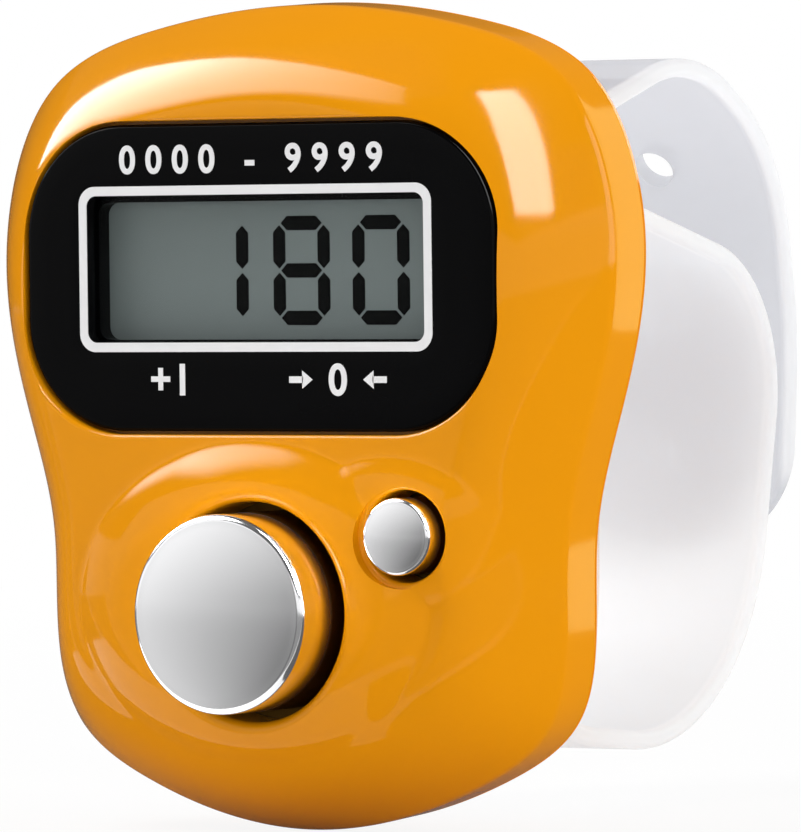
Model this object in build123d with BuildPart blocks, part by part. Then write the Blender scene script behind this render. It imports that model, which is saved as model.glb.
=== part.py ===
import math
import os

from build123d import *

# Finger tally counter. +Z is up, the front faces -Y and the finger passes along X.
# The origin is the middle of the finger loop, behind the back cover.

# Body seen from the front: an egg with a waist, widest beside the display
body_width = 33.0
body_height = 38.0
outline_shares = (
    (0.48, 0.951),
    (0.834, 0.814),
    (0.964, 0.603),
    (0.996, 0.36),
    (0.928, 0.044),
    (0.836, -0.269),
    (0.825, -0.549),
    (0.774, -0.733),
    (0.541, -0.887),
)

# The body leans: its outline rises by this share of the depth behind the front face
lean_share = 0.053

# Sloped shoulder between the flat front and the rim, as shares of its width and depth
shoulder_width = 3.9
shoulder_depth = 4.5
shoulder_shares = ((1.1, 0.0), (0.78, 0.08), (0.36, 0.5), (0.0, 1.0))
hollow_slope_share = 0.5

# Shell walls
front_wall = 2.2
side_wall = 1.4
rim_land = 2.7
edge_inset = 3.2
cover_floor = 1.4
lip_height = 1.0
lip_wall = 1.0

# Clearances, and how far a cut runs past a face
fit_clearance = 0.15
slide_clearance = 0.05
pin_clearance = 0.02
overrun = 1.0

# Places on the body, as shares of its half width and half height
bezel_place_shares = (0.0, 0.357)
count_place_shares = (0.0, -0.446)
reset_place_shares = (0.49, -0.261)
cell_place_shares = (0.0, -0.03)
blob_place_shares = (0.0, 0.547)
board_screw_shares = (0.642, -0.063)
top_screw_shares = (0.315, 0.747)
low_screw_shares = (0.521, -0.553)
upper_slot_share = 0.634
lower_slot_share = -0.672

# Display panel and window
bezel_width = 25.2
bezel_height = 14.1
bezel_corner = 5.2
bezel_thickness = 1.0
bezel_recess = 0.35
window_width = 18.1
window_height = 6.7
window_corner = 0.5
window_rise = 0.4
window_shift = -0.2
lens_rim = 0.4
lens_thickness = 0.4

# Display stack behind the window
glass_side_lap = 0.45
glass_end_lap = 0.75
glass_thickness = 0.55
film_thickness = 0.15
film_inset = 0.1
ledge_height = 1.3
holder_wall = 0.65
strip_inset = 0.4
strip_height = 1.1

# Board, from the inside of the front wall backwards
board_gap = 3.6
board_thickness = 1.0
board_inset = 2.6

# Covered chip and small components on the back of the board
blob_radius = 2.4
blob_height = 1.1
blob_round = 0.8
chip_length = 1.6
chip_width = 0.8
chip_height = 0.6
chip_pitch = 2.0
chip_count = 3
chip_inset = 0.4

# Button cell with its bridge and leaf
cell_radius = 5.8
cell_height = 3.05
cell_cup = 0.75
cell_step = 0.5
leaf_height = 0.6
leaf_length = 7.0
leaf_width = 3.0
leaf_thickness = 0.25
leaf_bump = 1.2
clip_thickness = 0.2
clip_width = 4.0
clip_gap = 0.25

# Count button
count_hole = 5.03
count_radius = 4.55
count_proud = 3.8
count_edge = 0.7
count_flange = 5.7
count_flange_thickness = 0.8
count_post = 2.0
count_bore = 3.5
count_roof = 1.0
count_lip = 0.45
count_mound_width = 17.6
count_mound_height = 14.4
count_mound_rise = 1.0
count_mound_slope = 1.5

# Reset button
reset_hole = 2.1
reset_radius = 1.75
reset_proud = 1.3
reset_edge = 0.35
reset_flange = 2.6
reset_flange_thickness = 0.6
reset_post = 1.0
reset_mound_width = 7.0
reset_mound_rise = 0.5
reset_mound_slope = 0.9

# The mounds round the buttons: their skirts run down into the shoulder, and their sides round over
mound_skirt = 2.0
mound_shares = ((0.0, 0.0), (0.25, 0.6), (1.0, 1.0))

# Rubber domes and contact pills
post_length = 1.4
dome_roof = 0.5
dome_foot = 0.4
count_dome_radius = 4.2
count_dome_neck = 3.3
count_dome_top = 2.3
count_pill_radius = 1.3
reset_dome_radius = 2.5
reset_dome_neck = 2.0
reset_dome_top = 1.4
reset_pill_radius = 0.7
dome_wall = 0.45
pill_thickness = 0.3

# Screws: the same thread for the board and the case
screw_radius = 0.5
screw_head_radius = 1.1
screw_head_height = 0.7
screw_socket_radius = 0.35
screw_socket_depth = 0.4
screw_grip = 3.0
boss_radius = 1.4
case_screw_sink = 0.3

# Strap section and its neck through the back cover
strap_width = 12.8
strap_thickness = 0.9
neck_width = 8.0
bar_radius = 0.9
bar_length = 9.0
strap_stand_off = 0.4
strap_end_corner = 5.0
strap_hole = 1.0
peg_radius = 0.7
slit = 0.3

# Strap routes: each corner's reach behind the back cover and its height from the body's middle
leave_reach = 1.0
crown_reach = 17.95
crown_z = 17.22
brow_reach = 26.12
brow_z = 12.42
rear_reach = 27.57
rear_z = 3.39
tip_reach = 26.7
tip_z = -7.0
sole_reach = 6.6
sole_z = -15.14
heel_reach = 22.07
heel_z = -16.58
hook_reach = 26.57
hook_z = 5.93
end_reach = 8.3
end_z = 10.4

# Radii of the bends along the straps
leave_radius = 5.0
crown_radius = 9.5
rear_radius = 16.0
sole_radius = 10.0
heel_radius = 11.8
hook_radius = 6.9

# How far along its run the upper strap ends and the tail begins
tail_share = 0.545

# Where the two pegs pass through the tail, along its length
peg_shares = (0.163, 0.68)

# Middle of the finger loop: its reach behind the back cover and its drop below the body's middle
loop_reach = 9.3
loop_drop = 3.0


# A place on the body, from shares of its half width and half height
def on_body(shares):
    return shares[0] * body_width / 2, shares[1] * body_height / 2


# Both sides of the body
def both_sides(shares):
    across, up = on_body(shares)
    return [(across, up), (-across, up)]


bezel_x, bezel_z = on_body(bezel_place_shares)
count_x, count_z = on_body(count_place_shares)
reset_x, reset_z = on_body(reset_place_shares)
cell_x, cell_z = on_body(cell_place_shares)
blob_x, blob_z = on_body(blob_place_shares)
board_screw_places = both_sides(board_screw_shares)
case_screw_places = both_sides(top_screw_shares) + both_sides(low_screw_shares)
upper_z = upper_slot_share * body_height / 2
lower_z = lower_slot_share * body_height / 2
window_x = bezel_x + window_shift
window_z = bezel_z + window_rise
glass_width = window_width + 2 * glass_side_lap
glass_height = window_height + 2 * glass_end_lap
chip_x = window_x + glass_width / 2 - chip_inset

# Depths behind the front face, worked out from the pieces stacked there
rim_depth = shoulder_depth + rim_land
pocket_depth = bezel_recess + bezel_thickness
glass_front = front_wall + slide_clearance + film_thickness
glass_mid = glass_front + glass_thickness
glass_rear = glass_mid + glass_thickness
board_front = front_wall + board_gap
board_rear = board_front + board_thickness
cell_front = board_rear + leaf_height
cell_rear = cell_front + cell_height
clip_rear = cell_rear + clip_thickness
cover_inside = clip_rear + fit_clearance
body_depth = cover_inside + cover_floor
post_end = front_wall + post_length
dome_top = post_end + slide_clearance
bar_depth = cover_inside - bar_radius - fit_clearance
front_y = -(body_depth + loop_reach)

os.makedirs("parts", exist_ok=True)


# Plane parallel to the front face, some depth behind it: x is across, y is up
def behind_front(depth):
    return Plane(origin=(0, front_y + depth, loop_drop), x_dir=(1, 0, 0), z_dir=(0, -1, 0))


# Plane through a button's axis: x is the radius, y is the height in front of the face
def through_button(across, up):
    return Plane(origin=(across, front_y, up + loop_drop), x_dir=(1, 0, 0), z_dir=(0, 0, -1))


def button_axis(across, up):
    return Axis((across, front_y, up + loop_drop), (0, -1, 0))


# Plane through the middle of the body, seen from the side: x is the depth, y is up
side_plane = Plane(origin=(0, front_y, loop_drop), x_dir=(0, 1, 0), z_dir=(1, 0, 0))


# The egg outline at some depth, drawn in by an inset
def egg(inset, depth):
    half_width = body_width / 2 - inset
    half_height = body_height / 2 - inset
    rise = lean_share * depth
    points = [(across * half_width, rise + up * half_height) for across, up in outline_shares]
    with BuildSketch() as outline:
        with BuildLine():
            Spline((0, rise + half_height), *points, (0, rise - half_height), tangents=[(1, 0), (-1, 0)])
            mirror(about=Plane.YZ)
        make_face()
    return outline.sketch_local


# The egg between two depths, drawn in by an inset at each: the rim, the back cover and their hollows
def tapered_egg(front_inset, rear_inset, front_depth, rear_depth):
    with BuildPart() as form:
        with BuildSketch(behind_front(front_depth)):
            add(egg(front_inset, front_depth))
        with BuildSketch(behind_front(rear_depth)):
            add(egg(rear_inset, rear_depth))
        loft()
    return form.part


# The egg with its sloped shoulder: the form of the front shell, and a smaller one for its hollow
def shouldered_egg(inset, slope_share, front_depth, rear_depth):
    slope_width = slope_share * shoulder_width
    slope_depth = slope_share * shoulder_depth
    with BuildPart() as form:
        for width_share, depth_share in shoulder_shares:
            depth = front_depth + depth_share * slope_depth
            with BuildSketch(behind_front(depth)):
                add(egg(inset + width_share * slope_width, depth))
        loft()
        add(tapered_egg(inset, inset, front_depth + slope_depth, rear_depth))
    return form.part


# Raised oval round a button hole, with a skirt that runs down into the shoulder
def mound(across, up, width, height, rise, slope):
    with BuildPart() as form:
        with BuildSketch(behind_front(mound_skirt)):
            with Locations((across, up)):
                Ellipse(width / 2, height / 2)
        extrude(amount=mound_skirt)
        for slope_share, rise_share in mound_shares:
            with BuildSketch(behind_front(-rise_share * rise)):
                with Locations((across, up)):
                    Ellipse(width / 2 - slope_share * slope, height / 2 - slope_share * slope)
        loft()
    return form.part


shell_form = shouldered_egg(0, 1, 0, rim_depth)
hollow_form = shouldered_egg(side_wall, hollow_slope_share, front_wall, rim_depth + overrun)
count_mound = mound(
    count_x, count_z, count_mound_width, count_mound_height, count_mound_rise, count_mound_slope
)
reset_mound = mound(
    reset_x, reset_z, reset_mound_width, reset_mound_width, reset_mound_rise, reset_mound_slope
)

with BuildPart() as front_shell:
    add(shell_form)
    add(count_mound)
    add(reset_mound)
    add(hollow_form, mode=Mode.SUBTRACT)
    with BuildSketch(behind_front(board_front)):
        with Locations(*board_screw_places):
            Circle(boss_radius)
    extrude(amount=board_gap + slide_clearance)
    with BuildSketch(behind_front(rim_depth)):
        with Locations(*case_screw_places):
            Circle(boss_radius)
    extrude(amount=rim_depth - front_wall + slide_clearance)
    with BuildSketch(behind_front(board_front)):
        with Locations(*board_screw_places):
            Circle(screw_radius + pin_clearance)
    extrude(amount=screw_grip, mode=Mode.SUBTRACT)
    with BuildSketch(behind_front(rim_depth)):
        with Locations(*case_screw_places):
            Circle(screw_radius + pin_clearance)
    extrude(amount=screw_grip + fit_clearance, mode=Mode.SUBTRACT)
    with BuildSketch(behind_front(pocket_depth)):
        with Locations((bezel_x, bezel_z)):
            RectangleRounded(
                bezel_width + 2 * fit_clearance,
                bezel_height + 2 * fit_clearance,
                bezel_corner + fit_clearance,
            )
    extrude(amount=pocket_depth + overrun, mode=Mode.SUBTRACT)
    with BuildSketch(behind_front(front_wall + overrun)):
        with Locations((window_x, window_z)):
            RectangleRounded(
                window_width + 2 * fit_clearance,
                window_height + 2 * fit_clearance,
                window_corner + fit_clearance,
            )
        with Locations((count_x, count_z)):
            Circle(count_hole)
        with Locations((reset_x, reset_z)):
            Circle(reset_hole)
    extrude(amount=front_wall + count_proud + overrun, mode=Mode.SUBTRACT)
    rims = front_shell.edges().filter_by(GeomType.CIRCLE)
    count_rim = rims.filter_by(lambda e: abs(e.radius - count_hole) < pin_clearance).sort_by(Axis.Y)[0]
    fillet(count_rim, radius=count_lip)
front_shell.part.label = "front_shell"
export_step(front_shell.part, "parts/front_shell.step")

cover_form = tapered_egg(0, edge_inset, rim_depth, body_depth)
cover_hollow = tapered_egg(side_wall + lip_wall, edge_inset + side_wall, rim_depth, cover_inside)

with BuildPart() as back_cover:
    add(cover_form)
    with BuildSketch(behind_front(rim_depth)):
        add(egg(side_wall + fit_clearance, rim_depth))
        add(egg(side_wall + lip_wall, rim_depth), mode=Mode.SUBTRACT)
    extrude(amount=lip_height)
    add(cover_hollow, mode=Mode.SUBTRACT)
    with BuildSketch(behind_front(rim_depth)):
        with Locations(*case_screw_places):
            Circle(boss_radius)
    extrude(amount=rim_depth - cover_inside)
    with BuildSketch(behind_front(rim_depth)):
        with Locations(*case_screw_places):
            Circle(boss_radius + fit_clearance)
    extrude(amount=lip_height + overrun, mode=Mode.SUBTRACT)
    with BuildSketch(behind_front(body_depth + overrun)):
        with Locations(*case_screw_places):
            Circle(screw_radius + fit_clearance)
        with Locations((0, upper_z), (0, lower_z)):
            Rectangle(neck_width + 2 * fit_clearance, strap_thickness + 2 * fit_clearance)
    extrude(amount=body_depth - rim_depth + 2 * overrun, mode=Mode.SUBTRACT)
    with BuildSketch(behind_front(body_depth - case_screw_sink - screw_head_height)):
        with Locations(*case_screw_places):
            Circle(screw_head_radius + fit_clearance)
    extrude(amount=-(case_screw_sink + screw_head_height + overrun), mode=Mode.SUBTRACT)
back_cover.part.label = "back_cover"
export_step(back_cover.part, "parts/back_cover.step")

with BuildPart() as display_bezel:
    with BuildSketch(behind_front(pocket_depth)):
        with Locations((bezel_x, bezel_z)):
            RectangleRounded(bezel_width, bezel_height, bezel_corner)
        with Locations((window_x, window_z)):
            RectangleRounded(window_width, window_height, window_corner, mode=Mode.SUBTRACT)
    extrude(amount=bezel_thickness)
    with BuildSketch(behind_front(pocket_depth)):
        with Locations((window_x, window_z)):
            Rectangle(
                window_width + 2 * (lens_rim + fit_clearance),
                window_height + 2 * (lens_rim + fit_clearance),
            )
    extrude(amount=lens_thickness, mode=Mode.SUBTRACT)
display_bezel.part.label = "display_bezel"
export_step(display_bezel.part, "parts/display_bezel.step")

with BuildPart() as window_lens:
    with BuildSketch(behind_front(pocket_depth)):
        with Locations((window_x, window_z)):
            Rectangle(window_width + 2 * lens_rim, window_height + 2 * lens_rim)
    extrude(amount=lens_thickness)
window_lens.part.label = "window_lens"
export_step(window_lens.part, "parts/window_lens.step")


# A flat sheet of the display stack, from its front depth back by its thickness
def display_sheet(width, height, front_depth, thickness):
    with BuildPart() as sheet:
        with BuildSketch(behind_front(front_depth)):
            with Locations((window_x, window_z)):
                Rectangle(width, height)
        extrude(amount=-thickness)
    return sheet.part


rear_glass_height = glass_height - 2 * ledge_height
stack = {
    "lcd_polarizer": display_sheet(
        glass_width - 2 * film_inset,
        glass_height - 2 * film_inset,
        glass_front - film_thickness,
        film_thickness,
    ),
    "lcd_front_glass": display_sheet(glass_width, glass_height, glass_front, glass_thickness),
    "lcd_rear_glass": display_sheet(glass_width, rear_glass_height, glass_mid, glass_thickness),
    "lcd_reflector": display_sheet(
        glass_width - 2 * film_inset,
        rear_glass_height - 2 * film_inset,
        glass_rear,
        film_thickness,
    ),
}
for name, sheet in stack.items():
    sheet.label = name
    export_step(sheet, f"parts/{name}.step")

with BuildPart() as lcd_holder:
    with BuildSketch(behind_front(board_front)):
        with Locations((window_x, window_z)):
            Rectangle(
                glass_width + 2 * (fit_clearance + holder_wall),
                glass_height + 2 * (fit_clearance + holder_wall),
            )
            Rectangle(
                glass_width + 2 * fit_clearance,
                glass_height + 2 * fit_clearance,
                mode=Mode.SUBTRACT,
            )
        with Locations(*case_screw_places):
            Circle(boss_radius + fit_clearance, mode=Mode.SUBTRACT)
    extrude(amount=board_gap - slide_clearance)
lcd_holder.part.label = "lcd_holder"
export_step(lcd_holder.part, "parts/lcd_holder.step")

with BuildPart() as zebra_strips:
    with BuildSketch(behind_front(board_front)):
        with Locations((window_x, window_z)):
            with GridLocations(0, glass_height - strip_height, 1, 2):
                Rectangle(glass_width - 2 * strip_inset, strip_height)
    extrude(amount=board_front - glass_mid)
zebra_strips.part.label = "zebra_strips"
export_step(zebra_strips.part, "parts/zebra_strips.step")

with BuildPart() as circuit_board:
    with BuildSketch(behind_front(board_rear)):
        add(egg(board_inset, board_rear))
        with Locations(*case_screw_places):
            Circle(boss_radius + fit_clearance, mode=Mode.SUBTRACT)
        with Locations(*board_screw_places):
            Circle(screw_radius + pin_clearance, mode=Mode.SUBTRACT)
    extrude(amount=board_thickness)
circuit_board.part.label = "circuit_board"
export_step(circuit_board.part, "parts/circuit_board.step")

with BuildPart() as chip_blob:
    with BuildSketch(behind_front(board_rear)):
        with Locations((blob_x, blob_z)):
            Circle(blob_radius)
    extrude(amount=-blob_height)
    fillet(chip_blob.edges().sort_by(Axis.Y)[-1], radius=blob_round)
chip_blob.part.label = "chip_blob"
export_step(chip_blob.part, "parts/chip_blob.step")

with BuildPart() as smd_parts:
    with BuildSketch(behind_front(board_rear)):
        with Locations((chip_x, window_z)):
            with GridLocations(0, chip_pitch, 1, chip_count):
                Rectangle(chip_length, chip_width)
    extrude(amount=-chip_height)
smd_parts.part.label = "smd_parts"
export_step(smd_parts.part, "parts/smd_parts.step")

with BuildPart() as battery:
    with BuildSketch(behind_front(cell_rear)):
        with Locations((cell_x, cell_z)):
            Circle(cell_radius)
    extrude(amount=cell_height - cell_step)
    with BuildSketch(behind_front(cell_front)):
        with Locations((cell_x, cell_z)):
            Circle(cell_radius - cell_cup)
    extrude(amount=-cell_step)
battery.part.label = "battery"
export_step(battery.part, "parts/battery.step")

clip_reach = cell_radius + clip_gap

with BuildPart() as battery_clip:
    with BuildSketch(behind_front(clip_rear)):
        with Locations((cell_x, cell_z)):
            Rectangle(2 * (clip_reach + clip_thickness), clip_width)
    extrude(amount=clip_thickness)
    with BuildSketch(behind_front(clip_rear)):
        with Locations((cell_x, cell_z)):
            with GridLocations(2 * clip_reach + clip_thickness, 0, 2, 1):
                Rectangle(clip_thickness, clip_width)
    extrude(amount=clip_rear - board_rear)
battery_clip.part.label = "battery_clip"
export_step(battery_clip.part, "parts/battery_clip.step")

with BuildPart() as battery_leaf:
    with BuildSketch(behind_front(board_rear)):
        with Locations((cell_x, cell_z)):
            Rectangle(leaf_length, leaf_width)
    extrude(amount=-leaf_thickness)
    with BuildSketch(behind_front(board_rear)):
        with Locations((cell_x, cell_z)):
            Circle(leaf_bump)
    extrude(amount=-leaf_height)
battery_leaf.part.label = "battery_leaf"
export_step(battery_leaf.part, "parts/battery_leaf.step")

# Chrome caps: a rounded cap, a flange behind the front wall and a post that bears on the dome
flange_front = front_wall + slide_clearance

with BuildPart() as count_button:
    with BuildSketch(through_button(count_x, count_z)):
        with BuildLine():
            Polyline(
                (0, count_proud),
                (0, -post_end),
                (count_post, -post_end),
                (count_post, count_proud - count_roof),
                (count_bore, count_proud - count_roof),
                (count_bore, -flange_front - count_flange_thickness),
                (count_flange, -flange_front - count_flange_thickness),
                (count_flange, -flange_front),
                (count_radius, -flange_front),
                (count_radius, count_proud),
                close=True,
            )
        make_face()
    revolve(axis=button_axis(count_x, count_z))
    fillet(count_button.edges().sort_by(Axis.Y)[0], radius=count_edge)
count_button.part.label = "count_button"
export_step(count_button.part, "parts/count_button.step")

with BuildPart() as reset_button:
    with BuildSketch(through_button(reset_x, reset_z)):
        with BuildLine():
            Polyline(
                (0, reset_proud),
                (0, -post_end),
                (reset_post, -post_end),
                (reset_post, -flange_front - reset_flange_thickness),
                (reset_flange, -flange_front - reset_flange_thickness),
                (reset_flange, -flange_front),
                (reset_radius, -flange_front),
                (reset_radius, reset_proud),
                close=True,
            )
        make_face()
    revolve(axis=button_axis(reset_x, reset_z))
    fillet(reset_button.edges().sort_by(Axis.Y)[0], radius=reset_edge)
reset_button.part.label = "reset_button"
export_step(reset_button.part, "parts/reset_button.step")


# Rubber dome standing on the board, open below
def dome(across, up, foot, neck, top):
    foot_height = -board_front + dome_foot
    with BuildPart() as form:
        with BuildSketch(through_button(across, up)):
            with BuildLine():
                Polyline(
                    (0, -dome_top),
                    (top, -dome_top),
                    (neck, foot_height),
                    (foot, foot_height),
                    (foot, -board_front),
                    (neck - dome_wall, -board_front),
                    (top - dome_wall, -dome_top - dome_roof),
                    (0, -dome_top - dome_roof),
                    close=True,
                )
            make_face()
        revolve(axis=button_axis(across, up))
    return form.part


# Conductive pill under the roof of a dome
def pill(across, up, radius):
    with BuildPart() as form:
        with BuildSketch(behind_front(dome_top + dome_roof + pin_clearance)):
            with Locations((across, up)):
                Circle(radius)
        extrude(amount=-pill_thickness)
    return form.part


contacts = {
    "count_dome": dome(count_x, count_z, count_dome_radius, count_dome_neck, count_dome_top),
    "reset_dome": dome(reset_x, reset_z, reset_dome_radius, reset_dome_neck, reset_dome_top),
    "count_pill": pill(count_x, count_z, count_pill_radius),
    "reset_pill": pill(reset_x, reset_z, reset_pill_radius),
}
for name, contact in contacts.items():
    contact.label = name
    export_step(contact, f"parts/{name}.step")


# Screws with round heads towards the back: where the heads seat and how far the shanks reach forward
def screws(places, seat_depth, tip_depth):
    with BuildPart() as group:
        with BuildSketch(behind_front(seat_depth)):
            with Locations(*places):
                Circle(screw_radius)
        extrude(amount=seat_depth - tip_depth)
        with BuildSketch(behind_front(seat_depth)):
            with Locations(*places):
                Circle(screw_head_radius)
        extrude(amount=-screw_head_height)
        with BuildSketch(behind_front(seat_depth + screw_head_height)):
            with Locations(*places):
                Circle(screw_socket_radius)
        extrude(amount=screw_socket_depth, mode=Mode.SUBTRACT)
    return group.part


case_seat = body_depth - case_screw_sink - screw_head_height
fasteners = {
    "board_screws": screws(board_screw_places, board_rear, board_front - screw_grip + fit_clearance),
    "case_screws": screws(case_screw_places, case_seat, rim_depth - screw_grip),
}
for name, group in fasteners.items():
    group.label = name
    export_step(group, f"parts/{name}.step")

# Corners of the strap routes, in the side plane
leave = body_depth + leave_reach
crown = Vector(body_depth + crown_reach, crown_z)
brow = Vector(body_depth + brow_reach, brow_z)
rear = Vector(body_depth + rear_reach, rear_z)
tip = Vector(body_depth + tip_reach, tip_z)
brow_run = (rear - brow).normalized()
cut = brow + (rear - brow) * tail_share
upper_end = cut - brow_run * (slit / 2)
tail_start = cut + brow_run * (slit / 2)


# A strap along a route, full width behind the back cover and narrow through its slot
def strap(route, radii):
    with BuildPart() as form:
        with BuildSketch(side_plane):
            with BuildLine():
                FilletPolyline(*route, radius=radii)
            trace(line_width=strap_thickness)
        extrude(amount=strap_width / 2, both=True)
    return form.part


# The anchor bar inside the cover, and the cuts that leave only a neck in front of the strap's shoulders
def anchor(up):
    with BuildPart() as form:
        with BuildSketch(side_plane):
            with Locations((bar_depth, up)):
                Circle(bar_radius)
        extrude(amount=bar_length / 2, both=True)
    return form.part


def neck_cuts(up):
    neck_length = body_depth + strap_stand_off - bar_depth + bar_radius
    cut_width = strap_width - neck_width
    with BuildPart() as form:
        with BuildSketch(behind_front(body_depth + strap_stand_off)):
            with Locations((0, up)):
                with GridLocations(neck_width + cut_width, 0, 2, 1):
                    Rectangle(cut_width, strap_width)
        extrude(amount=neck_length)
    return form.part


# Plane at a point of the side plane, facing along a direction in it
def in_side_plane(point, direction):
    return Plane(
        origin=side_plane.from_local_coords(point),
        x_dir=(1, 0, 0),
        z_dir=side_plane.from_local_coords(direction) - side_plane.origin,
    )


# A round cut through the strap, square to it
def strap_hole_cut(point, direction):
    with BuildPart() as form:
        with BuildSketch(in_side_plane(point, direction)):
            Circle(strap_hole)
        extrude(amount=strap_thickness, both=True)
    return form.part


# The strap hole on the bend above the tail, at the middle of that bend
crown_run = (brow - crown).normalized()
brow_out = (crown_run - brow_run).normalized()
brow_turn = crown_run.get_angle(brow_run)
brow_sag = crown_radius / math.cos(math.radians(brow_turn / 2)) - crown_radius
brow_middle = brow - brow_out * brow_sag

upper_route = [(bar_depth, upper_z), (leave, upper_z), crown, brow, upper_end]
with BuildPart() as upper_strap:
    add(strap(upper_route, [leave_radius, crown_radius, crown_radius]))
    add(neck_cuts(upper_z), mode=Mode.SUBTRACT)
    add(anchor(upper_z))
    add(strap_hole_cut(brow_middle, brow_out), mode=Mode.SUBTRACT)
upper_strap.part.label = "upper_strap"
export_step(upper_strap.part, "parts/upper_strap.step")

with BuildLine() as tail_line:
    FilletPolyline(tail_start, rear, tip, radius=[rear_radius])
tail_wire = tail_line.wire()


# Direction out of the loop, square to the tail
def tail_out(share):
    along = tail_wire % share
    return Vector(-along.Y, along.X)


with BuildPart() as strap_tail:
    add(strap([tail_start, rear, tip], [rear_radius]))
    end_edges = strap_tail.edges().filter_by(lambda e: abs(e.length - strap_thickness) < pin_clearance)
    fillet(end_edges.sort_by(Axis.Z)[:2], radius=strap_end_corner)
    for share in peg_shares:
        add(strap_hole_cut(tail_wire @ share, tail_out(share)), mode=Mode.SUBTRACT)
strap_tail.part.label = "strap_tail"
export_step(strap_tail.part, "parts/strap_tail.step")

lower_route = [
    (bar_depth, lower_z),
    (leave, lower_z),
    (body_depth + sole_reach, sole_z),
    (body_depth + heel_reach, heel_z),
    (body_depth + hook_reach, hook_z),
    (body_depth + end_reach, end_z),
]
with BuildPart() as lower_strap:
    add(strap(lower_route, [leave_radius, sole_radius, heel_radius, hook_radius]))
    end_edges = lower_strap.edges().filter_by(lambda e: abs(e.length - strap_thickness) < pin_clearance)
    fillet(end_edges.sort_by(Axis.Z)[-2:], radius=strap_end_corner)
    add(neck_cuts(lower_z), mode=Mode.SUBTRACT)
    add(anchor(lower_z))
    for share in peg_shares:
        outward = tail_out(share)
        peg_tip = tail_wire @ share + outward * (strap_thickness / 2)
        with BuildSketch(in_side_plane(peg_tip, -outward)):
            Circle(peg_radius)
        extrude(until=Until.NEXT)
lower_strap.part.label = "lower_strap"
export_step(lower_strap.part, "parts/lower_strap.step")
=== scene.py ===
import bpy
import bmesh
import math
import numpy as np
from mathutils import Matrix, Vector


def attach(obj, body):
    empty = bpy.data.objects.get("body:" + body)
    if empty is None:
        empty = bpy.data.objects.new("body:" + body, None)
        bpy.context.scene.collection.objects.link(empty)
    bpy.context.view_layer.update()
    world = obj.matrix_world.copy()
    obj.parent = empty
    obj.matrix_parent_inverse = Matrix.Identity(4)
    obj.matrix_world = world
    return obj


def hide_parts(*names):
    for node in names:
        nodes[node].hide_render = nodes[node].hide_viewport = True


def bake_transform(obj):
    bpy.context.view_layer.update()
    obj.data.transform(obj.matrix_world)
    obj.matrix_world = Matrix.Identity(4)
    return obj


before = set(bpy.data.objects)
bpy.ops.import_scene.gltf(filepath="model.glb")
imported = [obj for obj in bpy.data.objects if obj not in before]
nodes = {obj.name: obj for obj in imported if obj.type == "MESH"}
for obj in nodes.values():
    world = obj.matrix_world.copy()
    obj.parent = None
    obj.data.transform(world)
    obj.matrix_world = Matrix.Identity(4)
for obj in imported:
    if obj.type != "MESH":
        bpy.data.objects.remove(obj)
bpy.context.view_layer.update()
print("frame loaded:", len(nodes), "nodes")

mm = 0.001
frontY = -21.5      # the flat front face, in mm
middleZ = 3.0       # the body's middle, in mm
lean = 0.053        # the body rises by this share of the depth
weld = 2e-7         # points nearer than this become one, in metres
sharpAngle = 32     # edges that turn by more stay sharp, in degrees


# across and up are from the body's middle, depth is behind the front face, all in mm
def place(across, depth, up):
    return Vector((across * mm, (depth + frontY) * mm, (up + middleZ) * mm))


def addObject(name, data):
    made = bpy.data.objects.new(name, data)
    bpy.context.scene.collection.objects.link(made)
    return made


def meshFrom(name, bm):
    mesh = bpy.data.meshes.new(name)
    bm.to_mesh(mesh)
    bm.free()
    return mesh


def solidFrom(name, bm):
    bmesh.ops.remove_doubles(bm, verts=bm.verts, dist=weld)
    bmesh.ops.recalc_face_normals(bm, faces=bm.faces)
    return addObject(name, meshFrom(name, bm))


def smoothByAngle(mesh):
    mesh.polygons.foreach_set("use_smooth", [True] * len(mesh.polygons))
    mesh.set_sharp_from_angle(angle=math.radians(sharpAngle))


# A visible piece, bound to the body when one is given
def finishPiece(name, bm, material, body=None, stands=()):
    piece = solidFrom(name, bm)
    piece.data.materials.append(material)
    smoothByAngle(piece.data)
    if body:
        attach(piece, body)
        if stands:
            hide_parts(*stands)
    return piece


# A skin over rings, each a closed line of places; a ring of one place repeated closes to a point
def ringSkin(rings, closeEnds=False, loop=False):
    around = len(rings[0])
    rows = rings + [rings[0]] if loop else rings
    bm = bmesh.new()
    bmesh.ops.create_grid(bm, x_segments=len(rows) - 1, y_segments=around, size=1)
    for vert in bm.verts:
        row = round((vert.co.x + 1) / 2 * (len(rows) - 1))
        column = round((vert.co.y + 1) / 2 * around) % around
        vert.co = rows[row][column]
    bmesh.ops.remove_doubles(bm, verts=bm.verts, dist=weld)
    if closeEnds:
        bmesh.ops.holes_fill(bm, edges=[e for e in bm.edges if e.is_boundary], sides=0)
    return bm


# Boolean cuts or joins, applied to the mesh
def carve(piece, tools, operation="DIFFERENCE"):
    for tool in tools:
        cut = piece.modifiers.new("cut", "BOOLEAN")
        cut.operation = operation
        cut.solver = "EXACT"
        cut.object = tool
    bpy.context.view_layer.update()
    deps = bpy.context.evaluated_depsgraph_get()
    mesh = bpy.data.meshes.new_from_object(piece.evaluated_get(deps))
    piece.modifiers.clear()
    piece.data = mesh
    for tool in tools:
        bpy.data.objects.remove(tool)
    smoothByAngle(mesh)


def cutter(bm):
    return solidFrom("cutter", bm)


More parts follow.
